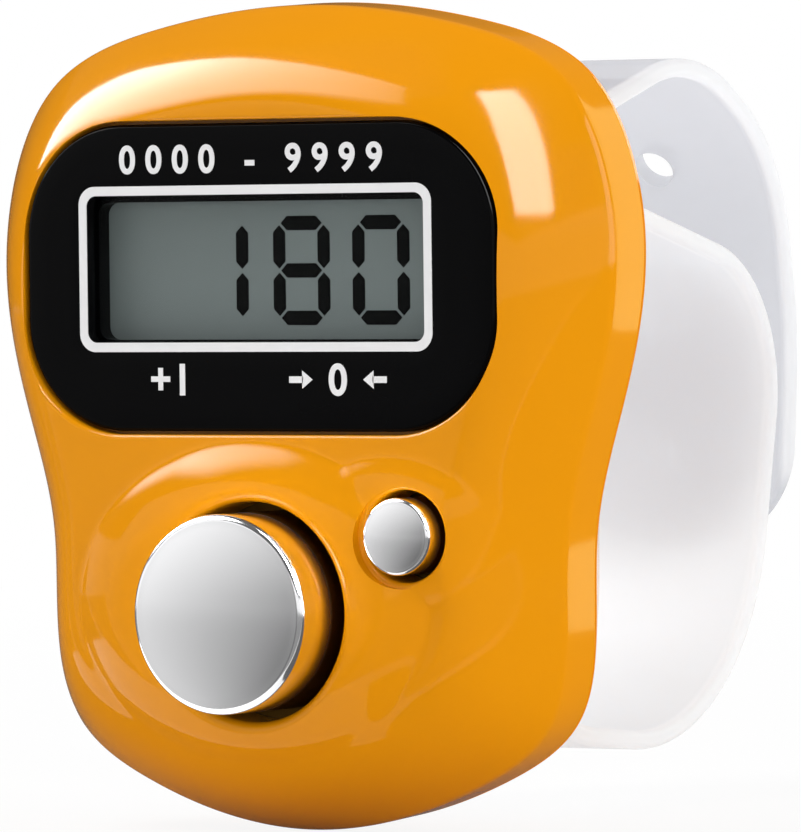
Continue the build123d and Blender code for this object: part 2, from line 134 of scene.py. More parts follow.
# A half section of (radius, depth) turned about an axis square to the face
def turned(section, across, up, steps=128):
    bm = bmesh.new()
    line = [bm.verts.new(place(across + radius, depth, up)) for radius, depth in section]
    edges = [bm.edges.new(pair) for pair in zip(line, line[1:])]
    bmesh.ops.spin(bm, geom=line + edges, cent=place(across, 0, up), axis=(0, 1, 0),
                   angle=2 * math.pi, steps=steps, use_merge=True)
    bmesh.ops.remove_doubles(bm, verts=bm.verts, dist=weld)
    return bm


# Points of a quarter round, out and down, as shares of its radius
def quarter(steps):
    return [(math.sin(math.pi / 2 * i / steps), 1 - math.cos(math.pi / 2 * i / steps)) for i in range(steps + 1)]


# Rounded rectangle about a middle, as (across, up), with the same count of points for every size
def roundedBox(width, height, corner, middle=(0, 0), arc=24, side=12):
    points = []
    for turn, (sx, sz) in enumerate([(1, 1), (-1, 1), (-1, -1), (1, -1)]):
        cx, cz = sx * (width / 2 - corner), sz * (height / 2 - corner)
        for i in range(arc + 1):
            a = math.pi / 2 * (turn + i / arc)
            points.append((cx + corner * math.cos(a), cz + corner * math.sin(a)))
        nx, nz = [(-1, 1), (-1, -1), (1, -1), (1, 1)][turn]
        nextX, nextZ = nx * (width / 2 - corner), nz * (height / 2 - corner)
        a = math.pi / 2 * (turn + 1)
        start, end = Vector(points[-1]), Vector((nextX + corner * math.cos(a), nextZ + corner * math.sin(a)))
        points += [tuple(start.lerp(end, i / side)) for i in range(1, side)]
    return [(x + middle[0], z + middle[1]) for x, z in points]


def boxRing(width, height, corner, depth, middle):
    return [place(x, depth, z) for x, z in roundedBox(width, height, corner, middle)]


# Finishes: a small class for shader maths, and one for the nodes of a material or the world
class Wire:
    def __init__(self, finish, socket):
        self.finish, self.socket = finish, socket

    def math(self, operation, first, second):
        return self.finish.node("ShaderNodeMath", {"operation": operation}, {0: first, 1: second})

    def __add__(self, other):
        return self.math("ADD", self, other)

    def __mul__(self, other):
        return self.math("MULTIPLY", self, other)

    def __truediv__(self, other):
        return self.math("DIVIDE", self, other)

    __radd__ = __add__
    __rmul__ = __mul__


class Finish:
    def __init__(self, name, world=None):
        self.material = world or bpy.data.materials.new(name)
        self.material.use_nodes = True
        self.tree = self.material.node_tree
        self.tree.nodes.clear()
        self.output = self.tree.nodes.new("ShaderNodeOutputWorld" if world else "ShaderNodeOutputMaterial")

    def node(self, kind, settings, sockets, output=0):
        made = self.tree.nodes.new(kind)
        for key, value in settings.items():
            setattr(made, key, value)
        for key, value in sockets.items():
            if isinstance(value, Wire):
                self.tree.links.new(value.socket, made.inputs[key])
            else:
                made.inputs[key].default_value = value
        return Wire(self, made.outputs[output])

    def spot(self):
        return self.node("ShaderNodeTexCoord", {}, {}, "Object")

    def noise(self, scale):
        return self.node("ShaderNodeTexNoise", {}, {"Vector": self.spot(), "Scale": scale, "Detail": 3.0}, "Fac")

    # rays from the camera, off gloss and through clear pieces
    def rays(self):
        kinds = ("Is Camera Ray", "Is Glossy Ray", "Is Transmission Ray")
        return [self.node("ShaderNodeLightPath", {}, {}, kind) for kind in kinds]

    # runs from low to high as the factor runs from 0 to 1
    def between(self, factor, low, high):
        return self.node("ShaderNodeMapRange", {}, {"Value": factor, "To Min": low, "To Max": high})

    def blendColours(self, factor, first, second):
        return self.node("ShaderNodeMix", {"data_type": "RGBA"}, {"Factor": factor, 6: first, 7: second}, 2)

    def bump(self, height, strength, distance):
        return self.node("ShaderNodeBump", {}, {"Height": height, "Strength": strength, "Distance": distance})

    def surface(self, sockets):
        self.show(self.node("ShaderNodeBsdfPrincipled", {}, sockets))

    def show(self, shader):
        self.tree.links.new(shader.socket, self.output.inputs["Surface"])


# A moulded finish: two near colours in soft clouds, a varying roughness and a fine skin
def mouldedFinish(name, dark, light, rough, clouds, skin, more):
    made = Finish(name)
    cloud = made.noise(clouds)
    sockets = {
        "Base Color": made.blendColours(cloud, (*dark, 1), (*light, 1)),
        "Roughness": made.between(made.noise(clouds * 3), *rough),
    }
    if skin:
        sockets["Normal"] = made.bump(made.noise(skin["scale"]), skin["strength"], skin["depth"])
    sockets.update(more)
    made.surface(sockets)
    return made.material


orangePlastic = mouldedFinish(
    "orangePlastic", (0.81, 0.298, 0.0015), (0.84, 0.314, 0.002), (0.07, 0.10), 90,
    {"depth": 0.00001, "scale": 900, "strength": 0.02}, {"Specular IOR Level": 0.2})
blackPanel = mouldedFinish(
    "blackPanel", (0.0012, 0.0012, 0.0014), (0.002, 0.002, 0.0023), (0.1, 0.16), 120,
    {"depth": 0.00001, "scale": 1400, "strength": 0.02}, {"Specular IOR Level": 0.06})
whitePrint = mouldedFinish(
    "whitePrint", (0.82, 0.82, 0.83), (0.88, 0.88, 0.88), (0.35, 0.5), 800,
    {"depth": 0.00001, "scale": 6000, "strength": 0.1}, {})
displayInk = mouldedFinish(
    "displayInk", (0.0012, 0.0014, 0.0014), (0.0022, 0.0024, 0.0024), (0.35, 0.45), 900,
    None, {"Specular IOR Level": 0.02})
displayFilm = mouldedFinish(
    "displayFilm", (0.205, 0.236, 0.232), (0.232, 0.268, 0.263), (0.38, 0.46), 60,
    {"depth": 0.00001, "scale": 9000, "strength": 0.1}, {"Specular IOR Level": 0.25})
whiteHolder = mouldedFinish(
    "whiteHolder", (0.70, 0.70, 0.67), (0.78, 0.78, 0.75), (0.4, 0.55), 150,
    {"depth": 0.00002, "scale": 3000, "strength": 0.2}, {})
greyRubber = mouldedFinish(
    "greyRubber", (0.30, 0.31, 0.32), (0.38, 0.39, 0.40), (0.6, 0.75), 400,
    {"depth": 0.00003, "scale": 4000, "strength": 0.3}, {})
carbonRubber = mouldedFinish(
    "carbonRubber", (0.012, 0.012, 0.013), (0.03, 0.03, 0.03), (0.7, 0.85), 900,
    {"depth": 0.00003, "scale": 6000, "strength": 0.3}, {})
blackResin = mouldedFinish(
    "blackResin", (0.008, 0.008, 0.009), (0.02, 0.02, 0.02), (0.25, 0.4), 500,
    {"depth": 0.00005, "scale": 900, "strength": 0.3}, {})
chipCeramic = mouldedFinish(
    "chipCeramic", (0.24, 0.17, 0.11), (0.34, 0.26, 0.18), (0.4, 0.6), 1500,
    {"depth": 0.00002, "scale": 5000, "strength": 0.2}, {})


# Chrome on the part of a cap that shows, and painted shade on its skirt, dark brown towards the hole where shade
# falls, by the depth where one turns to the other
capPlate = {"chrome": (0.93, 0.93, 0.94), "skirt": (0.09, 0.045, 0.008), "clouds": 260, "shine": 1.03,
            "rough": (0.10, 0.14), "skirtRough": 0.2}
capTurns = {"countChrome": (-0.0233, -0.0223), "resetChrome": (-0.0221, -0.0215)}


def capFinish(name, v, turn):
    made = Finish(name)
    depth = made.node("ShaderNodeSeparateXYZ", {}, {0: made.spot()}, "Y")
    # painted shade: the cap's side turns dark brown near the hole over these depths
    skirt = made.node("ShaderNodeMapRange", {}, {"Value": depth, "From Min": turn[0], "From Max": turn[1]})
    cloud = made.noise(v["clouds"])
    bright = tuple(min(1, c * v["shine"]) for c in v["chrome"])
    plate = made.blendColours(cloud, (*v["chrome"], 1), (*bright, 1))
    made.surface({
        "Base Color": made.blendColours(skirt, plate, (*v["skirt"], 1)),
        "Metallic": 1.0,
        "Roughness": made.between(cloud, *v["rough"]) + skirt * v["skirtRough"],
    })
    return made.material


countChrome, resetChrome = [capFinish(name, capPlate, turn) for name, turn in capTurns.items()]


steelGrain = {"detail": 4.0, "shine": 1.12, "strength": 0.15, "depth": 0.00001}


# Steel with fine turned or drawn lines along one direction
def steelFinish(name, colour, stretch, rough, v=steelGrain):
    made = Finish(name)
    lines = made.node("ShaderNodeMapping", {}, {"Vector": made.spot(), "Scale": stretch})
    grain = made.node("ShaderNodeTexNoise", {}, {"Vector": lines, "Scale": 1.0, "Detail": v["detail"]}, "Fac")
    bright = tuple(min(1, c * v["shine"]) for c in colour)
    made.surface({
        "Base Color": made.blendColours(grain, (*colour, 1), (*bright, 1)),
        "Metallic": 1.0,
        "Roughness": made.between(grain, *rough),
        "Normal": made.bump(grain, v["strength"], v["depth"]),
    })
    return made.material


cellSteel = steelFinish("cellSteel", (0.62, 0.62, 0.61), (600, 600, 6000), (0.2, 0.38))
springSteel = steelFinish("springSteel", (0.58, 0.57, 0.54), (5000, 500, 500), (0.22, 0.4))
screwSteel = steelFinish("screwSteel", (0.5, 0.5, 0.5), (3000, 3000, 3000), (0.25, 0.45))


boardValues = {"bare": (0.012, 0.11, 0.035), "track": (0.03, 0.2, 0.07), "scale": 260.0, "wander": 6.0, "share": 0.62,
               "clouds": 700, "rough": (0.3, 0.45), "strength": 0.2, "depth": 0.00003}


# Green board: paler tracks in rows under the lacquer
def boardFinish(v):
    made = Finish("greenBoard")
    bands = made.node("ShaderNodeTexWave", {"wave_type": "BANDS", "bands_direction": "DIAGONAL"},
                      {"Vector": made.spot(), "Scale": v["scale"], "Distortion": v["wander"], "Detail": 1.0}, "Fac")
    track = made.node("ShaderNodeMath", {"operation": "GREATER_THAN"}, {0: bands, 1: v["share"]})
    made.surface({
        "Base Color": made.blendColours(track, (*v["bare"], 1), (*v["track"], 1)),
        "Roughness": made.between(made.noise(v["clouds"]), *v["rough"]),
        "Normal": made.bump(track, v["strength"], v["depth"]),
    })
    return made.material


greenBoard = boardFinish(boardValues)


# Clear sheets: mostly let light through, and keep a gloss that grows at low angles
def clearFinish(name, tint, rough, gain, clouds=300, bending=1.45):
    made = Finish(name)
    through = made.node("ShaderNodeBsdfTransparent", {}, {"Color": (*tint, 1)})
    varied = made.between(made.noise(clouds), rough, rough * 2)
    gloss = made.node("ShaderNodeBsdfGlossy", {}, {"Color": (1, 1, 1, 1), "Roughness": varied})
    facing = made.node("ShaderNodeFresnel", {}, {"IOR": bending}) * gain
    made.show(made.node("ShaderNodeMixShader", {}, {0: facing, 1: through, 2: gloss}))
    return made.material


clearWindow = clearFinish("clearWindow", (0.97, 0.98, 0.98), 0.03, 0.08)
displayGlass = clearFinish("displayGlass", (0.86, 0.9, 0.89), 0.05, 0.6)


# Straps: milky soft plastic, part clear, part lit through from behind. Both are the same plastic: the outer strap's
# darker milk is painted shade, and the lighter milk along the long edges is a painted highlight
strapFinishValues = {
    # the outer strap's darker milk is painted shade
    "outerStrap": {"milk": (0.68, 0.69, 0.73), "edge": (0.96, 0.97, 0.98), "cover": 0.62, "edgeCover": 0.85},
    "innerStrap": {"milk": (0.945, 0.965, 0.985), "edge": (0.97, 0.98, 0.99), "cover": 0.78, "edgeCover": 0.85},
}
strapGlow = {"through": 0.65, "halfWidth": 0.0064, "edgeFrom": 0.9, "edgeTo": 0.98, "clouds": 140,
             "rough": (0.34, 0.42), "skin": 500, "strength": 0.05, "depth": 0.00002, "gloss": 0.15}


def strapFinish(name, v, glow):
    made = Finish(name)
    across = made.node("ShaderNodeSeparateXYZ", {}, {0: made.spot()}, "X")
    away = made.node("ShaderNodeMath", {"operation": "ABSOLUTE"}, {0: across}) / glow["halfWidth"]
    edge = made.node("ShaderNodeMapRange", {"interpolation_type": "SMOOTHSTEP"},
                     {"Value": away, "From Min": glow["edgeFrom"], "From Max": glow["edgeTo"]})
    # painted highlight: lighter milk and less clear along the long edges
    colour = made.blendColours(edge, (*v["milk"], 1), (*v["edge"], 1))
    skin = made.node("ShaderNodeBsdfPrincipled", {}, {
        "Base Color": colour,
        "Roughness": made.between(made.noise(glow["clouds"]), *glow["rough"]),
        "Normal": made.bump(made.noise(glow["skin"]), glow["strength"], glow["depth"]),
        "Specular IOR Level": glow["gloss"],
    })
    lit = made.node("ShaderNodeBsdfTranslucent", {}, {"Color": colour})
    milk = made.node("ShaderNodeMixShader", {}, {0: glow["through"], 1: skin, 2: lit})
    clear = made.node("ShaderNodeBsdfTransparent", {}, {"Color": (1, 1, 1, 1)})
    cover = made.between(edge, v["cover"], v["edgeCover"])
    made.show(made.node("ShaderNodeMixShader", {}, {0: cover, 1: clear, 2: milk}))
    return made.material


outerStrap, innerStrap = [strapFinish(name, values, strapGlow) for name, values in strapFinishValues.items()]
print("finishes made")


# Angles in degrees, distances and the lens in mm
cameraValues = {"turn": 31.26, "rise": 1.37, "roll": 0.69, "away": 396.6, "aside": 6.63, "lift": 0.37, "lens": 376.45}


def setCamera(v):
    turn, rise = math.radians(v["turn"]), math.radians(v["rise"])
    back = Vector((math.sin(turn) * math.cos(rise), -math.cos(turn) * math.cos(rise), math.sin(rise)))
    right = Vector((math.cos(turn), math.sin(turn), 0))
    up = back.cross(right)
    spot = place(0, 0, 0) + (back * v["away"] + right * v["aside"] + up * v["lift"]) * mm
    roll = Matrix.Rotation(-math.radians(v["roll"]), 3, back)
    right, up = roll @ right, roll @ up
    data = bpy.data.cameras.new("camera")
    data.lens = v["lens"]
    camera = addObject("camera", data)
    camera.matrix_world = Matrix.Translation(spot) @ Matrix((right, up, back)).transposed().to_4x4()
    bpy.context.scene.camera = camera


setCamera(cameraValues)


# The egg outline, a smooth closed line through these points, given as shares of the half sizes
bodyValues = {
    "halfWidth": 16.5, "halfHeight": 19.0, "around": 384,
    "right": [(0.48, 0.951), (0.834, 0.814), (0.964, 0.603), (0.996, 0.36), (0.928, 0.044), (0.836, -0.269),
              (0.825, -0.549), (0.774, -0.733), (0.541, -0.887)],
}


def closedLine(points, count, parts=200):
    p = np.array(points + points[:1])
    gap = np.linalg.norm(np.diff(p, axis=0), axis=1)
    n = len(points)
    # slopes of a periodic cubic through the points, spaced by the gaps
    rows, right = np.zeros((n, n)), np.zeros((n, 2))
    for i in range(n):
        before, after = gap[i - 1], gap[i]
        rows[i, i - 1] += after
        rows[i, i] += 2 * (before + after)
        rows[i, (i + 1) % n] += before
        right[i] = 3 * (after * (p[i] - p[i - 1 if i else n - 1]) / before + before * (p[i + 1] - p[i]) / after)
    slope = np.linalg.solve(rows, right)
    fine = []
    for i in range(n):
        for t in np.arange(0, 1, 1 / parts):
            a, b = p[i], p[i + 1]
            m, k = slope[i] * gap[i], slope[(i + 1) % n] * gap[i]
            fine.append((2*t**3 - 3*t**2 + 1) * a + (t**3 - 2*t**2 + t) * m
                        + (3*t**2 - 2*t**3) * b + (t**3 - t**2) * k)
    fine = np.array(fine + fine[:1])
    run = np.concatenate([[0], np.cumsum(np.linalg.norm(np.diff(fine, axis=0), axis=1))])
    at = np.arange(count) / count * run[-1]
    return [(float(x), float(z)) for x, z in zip(np.interp(at, run, fine[:, 0]), np.interp(at, run, fine[:, 1]))]


def eggOutline(v):
    side = [(x * v["halfWidth"], z * v["halfHeight"]) for x, z in v["right"]]
    mirrored = [(-x, z) for x, z in reversed(side)]
    return closedLine([(0, v["halfHeight"])] + side + [(0, -v["halfHeight"])] + mirrored, v["around"])


outline = eggOutline(bodyValues)


def eggPoints(inset):
    wide = 1 - inset / bodyValues["halfWidth"]
    tall = 1 - inset / bodyValues["halfHeight"]
    return [(x * wide, z * tall) for x, z in outline]


def eggRing(inset, depth):
    return [place(x, depth, z + lean * depth) for x, z in eggPoints(inset)]


frontValues = {
    "shoulder": [(4.6, 0.0), (3.1, 0.0), (1.5, 1.95), (0.14, 4.22)],   # bezier of (inset, depth)
    "crease": [(0.09, 4.32), (0.05, 4.42), (0.02, 4.54), (0.005, 4.66), (0.0, 4.78)],
    "rimDepth": 7.2, "rimEdge": 0.1, "sideWall": 1.4, "wall": 2.2, "slopeSteps": 28, "faceSteps": 84,
    "hollow": [(3.55, 2.2), (2.92, 2.38), (2.1, 3.33), (1.4, 4.45)],
    "count": (0.0, -8.47), "hole": 5.03, "lip": 0.55, "moundFade": 4.0,
    "countMound": {"middle": (-0.26, -8.1), "half": (9.4, 7.35), "rise": 1.0, "run": 3.0, "soft": 0.10},
    "resetMound": {"middle": (7.0, -4.96), "half": (5.3, 3.6), "rise": 0.44, "run": 2.0, "soft": 0.06},
    "reset": (8.09, -4.96), "resetHole": 2.1, "resetLip": 0.28,
    "pocket": {"size": (25.5, 14.4), "corner": 5.35, "depth": 1.35, "lip": 0.2, "middle": (0, 6.78), "over": 2},
    "opening": {"size": (18.4, 7.0), "corner": 0.65, "middle": (-0.2, 7.18), "from": 0.5}, "past": 1,
}


def bezier(points, share):
    a, b, c, d = [Vector(p) for p in points]
    s = 1 - share
    return a * s**3 + b * 3 * s * s * share + c * 3 * s * share**2 + d * share**3


def moundHeight(v, across, up):
    x, z = across - v["middle"][0], up - v["middle"][1]
    reach = math.hypot(x / v["half"][0], z / v["half"][1])
    if reach < 1e-6:
        return v["rise"]
    inside = math.hypot(x, z) * (1 / reach - 1) / v["run"]        # from the foot inwards, 1 at the crest
    share = min(inside, 1)
    height = v["rise"] * (1 - (1 - share)**2) if share > 0 else 2 * v["rise"] * share
    return (height + math.sqrt(height * height + v["soft"]**2)) / 2


def faceHeight(v, across, up):
    count, reset = moundHeight(v["countMound"], across, up), moundHeight(v["resetMound"], across, up)
    return (count**4 + reset**4)**0.25


def frontSkin(v):
    rings = [eggRing(v["rimEdge"], v["rimDepth"])]
    low, high = v["rimDepth"] - v["rimEdge"], v["crease"][-1][1]
    rings += [eggRing(0, low + share * (high - low)) for share in (0, 0.25, 0.5, 0.75)]
    steps = v["slopeSteps"]
    slope = list(reversed(v["crease"])) + [tuple(bezier(v["shoulder"], 1 - i / steps)) for i in range(steps + 1)]
    for inset, depth in slope:
        fade = max(0, 1 - depth / v["moundFade"])
        rings.append([place(x, depth - faceHeight(v, x, z) * fade, z + lean * depth) for x, z in eggPoints(inset)])
    # from the shoulder straight to the count hole
    cx, cz = v["count"]
    spokes = []
    for x, z in eggPoints(v["shoulder"][0][0]):
        away = math.hypot(x - cx, z - cz)
        spokes.append(((x - cx) / away, (z - cz) / away, away))
    lipRadius = v["hole"] + v["lip"]
    for i in range(1, v["faceSteps"] + 1):
        share = i / v["faceSteps"]
        ring = []
        for ux, uz, away in spokes:
            radius = away + (lipRadius - away) * share
            px, pz = cx + ux * radius, cz + uz * radius
            ring.append(place(px, -faceHeight(v, px, pz), pz))
        rings.append(ring)
    # rounded lip, down the hole, and back along the inside
    for out, down in quarter(8)[1:]:
        radius = lipRadius - v["lip"] * out
        ring = []
        for ux, uz, away in spokes:
            top = faceHeight(v, cx + ux * lipRadius, cz + uz * lipRadius)
            ring.append(place(cx + ux * radius, -top + v["lip"] * down, cz + uz * radius))
        rings.append(ring)
    inner = eggPoints(v["hollow"][0][0])
    for share in (0, 1/3, 2/3):
        ring = []
        for (x, z), (ux, uz, away) in zip(inner, spokes):
            hx, hz = cx + ux * v["hole"], cz + uz * v["hole"]
            ring.append(place(hx + (x - hx) * share, v["wall"], hz + (z - hz) * share))
        rings.append(ring)
    rings += [eggRing(inset, depth) for inset, depth in v["hollow"] + [(v["sideWall"], v["rimDepth"])]]
    return ringSkin(rings, loop=True)


# Rounded box cut with a lip that opens out at the face
def boxCut(v, front, rear, lip):
    width, height = v["size"]
    curve = [(lip * (1 - out), lip * down) for out, down in quarter(5)] if lip else []
    steps = [(lip, front)] + curve + [(0, rear)]
    rings = [boxRing(width + 2 * grow, height + 2 * grow, v["corner"] + grow, depth, v["middle"])
             for grow, depth in steps]
    return cutter(ringSkin(rings, closeEnds=True))


def holeCut(radius, lip, face, rear, across, up, over=3):
    section = [(0, rear), (radius, rear)]
    section += [(radius + lip * (1 - out), face + lip * down) for out, down in reversed(quarter(5))]
    section += [(radius + lip, face - over), (0, face - over)]
    return cutter(turned(section, across, up, 96))


def makeFront(v):
    piece = finishPiece("frontShell", frontSkin(v), orangePlastic, "housing", ["front_shell"])
    pocket = boxCut(v["pocket"], -v["pocket"]["over"], v["pocket"]["depth"], v["pocket"]["lip"])
    opening = boxCut(v["opening"], v["opening"]["from"], v["wall"] + v["past"], 0)
    resetTop = faceHeight(v, *v["reset"])
    reset = holeCut(v["resetHole"], v["resetLip"], -resetTop, v["wall"] + v["past"], *v["reset"])
    carve(piece, [pocket, opening, reset])


makeFront(frontValues)
print("front shell made")


backValues = {
    "rimDepth": 7.2, "rimEdge": 0.1, "edgeInset": 3.2, "rear": 12.2, "round": 0.5, "inside": 10.8,
    "lipInset": 2.4, "floorInset": 4.6, "floorRing": 0.5, "bulge": 0.25, "over": 1,
    "screws": [(5.2, 14.2), (-5.2, 14.2), (8.6, -10.5), (-8.6, -10.5)], "seat": 11.2, "seatRadius": 1.25,
}


def makeBack(v):
    high = lean * v["rear"]
    rings = [[place(0, v["rear"], high)] * len(outline)]
    rear = eggPoints(v["edgeInset"] + v["round"])
    rings += [[place(x * share, v["rear"], z * share + high) for x, z in rear] for share in (0.25, 0.5, 0.75, 0.9)]
    slope = v["edgeInset"] / (v["rear"] - v["rimDepth"])
    for out, down in quarter(6):
        corner = v["round"] * (1 - out) - v["bulge"] * v["round"] * (1 - out) * out
        rings.append(eggRing(v["edgeInset"] + corner - slope * v["round"] * down, v["rear"] - v["round"] * down))
    top, low = v["edgeInset"] - slope * v["round"], v["rear"] - v["round"]
    for share in (0.2, 0.4, 0.6, 0.8):
        rings.append(eggRing(top * (1 - share), low + share * (v["rimDepth"] - low + v["rimEdge"])))
    rings += [eggRing(0, v["rimDepth"] + v["rimEdge"]), eggRing(v["rimEdge"], v["rimDepth"]),
              eggRing(v["lipInset"], v["rimDepth"]), eggRing(v["floorInset"], v["inside"])]
    share = v["floorRing"]
    rings.append([place(x * share, v["inside"], z * share + high) for x, z in eggPoints(v["floorInset"])])
    rings.append([place(0, v["inside"], high)] * len(outline))
    piece = finishPiece("backCover", ringSkin(rings), orangePlastic, "housing", ["back_cover"])
    behind = v["rear"] + v["over"]
    section = [(0, v["seat"]), (v["seatRadius"], v["seat"]), (v["seatRadius"], behind), (0, behind)]
    carve(piece, [cutter(turned(section, across, up, 48)) for across, up in v["screws"]])


makeBack(backValues)
print("back cover made")


panelValues = {
    "size": (25.2, 14.1), "corner": 5.2, "middle": (0, 6.78), "front": 0.35, "rear": 1.35, "edge": 0.22,
    "window": (18.1, 6.7), "windowCorner": 0.5, "windowMiddle": (-0.2, 7.18), "windowEdge": 0.06,
    "lensSize": (19.2, 7.8), "lensCorner": 0.05, "lensFront": 0.95,
}


def makePanel(v):
    w, h = v["size"]
    ww, wh = v["window"]
    lw, lh = v["lensSize"]
    rings = [boxRing(w, h, v["corner"], v["rear"], v["middle"])]
    for out, down in reversed(quarter(6)):
        grow = -2 * v["edge"] * (1 - out)
        rings.append(boxRing(w + grow, h + grow, v["corner"] + grow / 2, v["front"] + v["edge"] * down, v["middle"]))
    outer = roundedBox(w - 2 * v["edge"], h - 2 * v["edge"], v["corner"] - v["edge"], v["middle"])
    wide = v["windowEdge"]
    inner = roundedBox(ww + 2 * wide, wh + 2 * wide, v["windowCorner"] + wide, v["windowMiddle"])
    for share in (0.33, 0.66, 1):
        rings.append([place(a + (c - a) * share, v["front"], b + (d - b) * share)
                      for (a, b), (c, d) in zip(outer, inner)])
    middle, corner = v["windowMiddle"], v["windowCorner"]
    for out, down in quarter(4)[1:]:
        grow = 2 * wide * (1 - out)
        rings.append(boxRing(ww + grow, wh + grow, corner + grow / 2, v["front"] + wide * down, middle))
    rings.append(boxRing(ww, wh, corner, v["lensFront"], middle))
    rings += [boxRing(lw, lh, v["lensCorner"], v[depth], middle) for depth in ("lensFront", "rear")]
    finishPiece("displayPanel", ringSkin(rings, loop=True), blackPanel, "housing", ["display_bezel"])


makePanel(panelValues)

frameLineValues = {"outer": (18.98, 7.62), "inner": (18.14, 6.76), "outerCorner": 0.85, "innerCorner": 0.5,
                   "middle": (-0.2, 7.18), "front": 0.32, "rear": 0.36}


# Pale line round the window
def makeFrameLine(v):
    rings = [boxRing(*v[edge], v[edge + "Corner"], v[depth], v["middle"]) for edge, depth in (
        ("outer", "rear"), ("outer", "front"), ("inner", "front"), ("inner", "rear"))]
    finishPiece("frameLine", ringSkin(rings, loop=True), whitePrint, "housing")


makeFrameLine(frameLineValues)

# the inner edge sits lower than the window: the wider black along its top is painted shadow
gasketValues = {"border": (19.1, 7.7), "outer": (18.38, 6.98), "inner": (18.12, 6.34), "corner": 0.6,
                "middle": (-0.2, 7.18), "innerMiddle": (-0.2, 7.08), "front": 1.335, "rest": 1.349, "rear": 2.22}


# Black border behind the window, and the lining of the opening down to the display; the lining sits low in the
# window, so its wider black top is a painted shadow of the frame on the display
def makeGasket(v):
    rings = [boxRing(*v[key], v["corner"], v[depth], v[middle]) for key, depth, middle in (
        ("border", "rest", "middle"), ("border", "front", "middle"), ("inner", "front", "innerMiddle"),
        ("inner", "rear", "innerMiddle"), ("outer", "rear", "middle"), ("outer", "rest", "middle"))]
    finishPiece("displayGasket", ringSkin(rings, loop=True), blackPanel, "housing")


makeGasket(gasketValues)

marksValues = {
    "front": 0.325, "thick": 0.03, "bold": 0.045,
    "range": {"text": "0000 - 9999", "size": 1.78, "spacing": 1.62, "middle": (-0.35, 12.2)},
    "add": {"text": "+1", "size": 2.0, "spacing": 1.1, "middle": (-4.9, 2.1)},
    "clear": {"text": "0", "size": 2.0, "spacing": 1.0, "middle": (4.25, 2.1)},
    "arrow": {"reach": 1.9, "size": 0.55, "spread": 0.75, "tail": 0.75, "tailWidth": 0.3, "overlap": 0.05},
}


# Text as a flat mesh, centred on its middle, facing the front
def textMesh(bm, v, depth, bold):
    curve = bpy.data.curves.new("marks", "FONT")
    curve.body = v["text"]
    curve.size = v["size"]
    curve.space_character = v["spacing"]
    curve.align_x, curve.align_y = "CENTER", "CENTER"
    curve.resolution_u = 8
    curve.offset = bold
    holder = addObject("marks", curve)
    bpy.context.view_layer.update()
    mesh = bpy.data.meshes.new_from_object(holder)
    xs, ys = [p.co.x for p in mesh.vertices], [p.co.y for p in mesh.vertices]
    cx, cy = (min(xs) + max(xs)) / 2, (min(ys) + max(ys)) / 2
    for p in mesh.vertices:
        p.co = place(p.co.x - cx + v["middle"][0], depth, p.co.y - cy + v["middle"][1])
    bm.from_mesh(mesh)
    bpy.data.objects.remove(holder)
    bpy.data.curves.remove(curve)


def thicken(bm, depth):
    made = bmesh.ops.extrude_face_region(bm, geom=list(bm.faces), use_keep_orig=True)
    moved = [g for g in made["geom"] if isinstance(g, bmesh.types.BMVert)]
    bmesh.ops.translate(bm, verts=moved, vec=(0, depth * mm, 0))


def makeMarks(v):
    bm = bmesh.new()
    for key in ("range", "add", "clear"):
        textMesh(bm, v[key], v["front"], v["bold"])
    a, (cx, cz) = v["arrow"], v["clear"]["middle"]
    for side in (-1, 1):
        tip = bmesh.ops.create_circle(bm, cap_ends=True, segments=3, radius=1)["verts"]
        half = a["size"] * a["spread"]
        corners = [(side * (a["reach"] - a["size"]), 0), (side * a["reach"], half), (side * a["reach"], -half)]
        for vert, (x, z) in zip(tip, corners):
            vert.co = place(cx + x, v["front"], cz + z)
        bar = bmesh.ops.create_grid(bm, x_segments=1, y_segments=1, size=1)["verts"]
        for vert in bar:
            x = side * (a["reach"] - a["overlap"] + (vert.co.x + 1) / 2 * a["tail"])
            vert.co = place(cx + x, v["front"], cz + vert.co.y * a["tailWidth"] / 2)
    thicken(bm, v["thick"])
    finishPiece("panelMarks", bm, whitePrint, "housing")


makeMarks(marksValues)
print("display panel made")

# Dark segments on the grey film
digitValues = {
    "depth": 2.235, "thick": 0.014, "width": 3.05, "height": 5.0, "bar": 0.66, "gap": 0.09,
    "low": 4.55, "lefts": {"1": -4.72, "8": -0.32, "0": 3.93},
    "lit": {"1": "bc", "8": "abcdefg", "0": "abcdef"},
}


# Six-sided bar between two points, its ends cut to points
def addBar(bm, start, end, width, depth):
    start, end = Vector(start), Vector(end)
    along = (end - start).normalized()
    aside = Vector((-along.y, along.x)) * width / 2
    corners = [start, start + along * width / 2 + aside, end - along * width / 2 + aside,
               end, end - along * width / 2 - aside, start + along * width / 2 - aside]
    verts = bmesh.ops.create_circle(bm, cap_ends=True, segments=6, radius=1)["verts"]
    for vert, corner in zip(verts, corners):
        vert.co = place(corner.x, depth, corner.y)


def makeDigits(v):
    bm = bmesh.new()
    w, h, half, gap = v["width"] - v["bar"], v["height"] - v["bar"], v["bar"] / 2, v["gap"]
    bars = {"a": ((0, h), (w, h)), "b": ((w, h), (w, h / 2)), "c": ((w, h / 2), (w, 0)), "d": ((0, 0), (w, 0)),
            "e": ((0, 0), (0, h / 2)), "f": ((0, h / 2), (0, h)), "g": ((0, h / 2), (w, h / 2))}
    for digit, left in v["lefts"].items():
        for key in v["lit"][digit]:
            start, end = [Vector(p) + Vector((left + half, v["low"] + half)) for p in bars[key]]
            along = (end - start).normalized() * gap
            addBar(bm, start + along, end - along, v["bar"], v["depth"])
    thicken(bm, v["thick"])
    finishPiece("displayDigits", bm, displayInk, "housing")


makeDigits(digitValues)
print("display made")

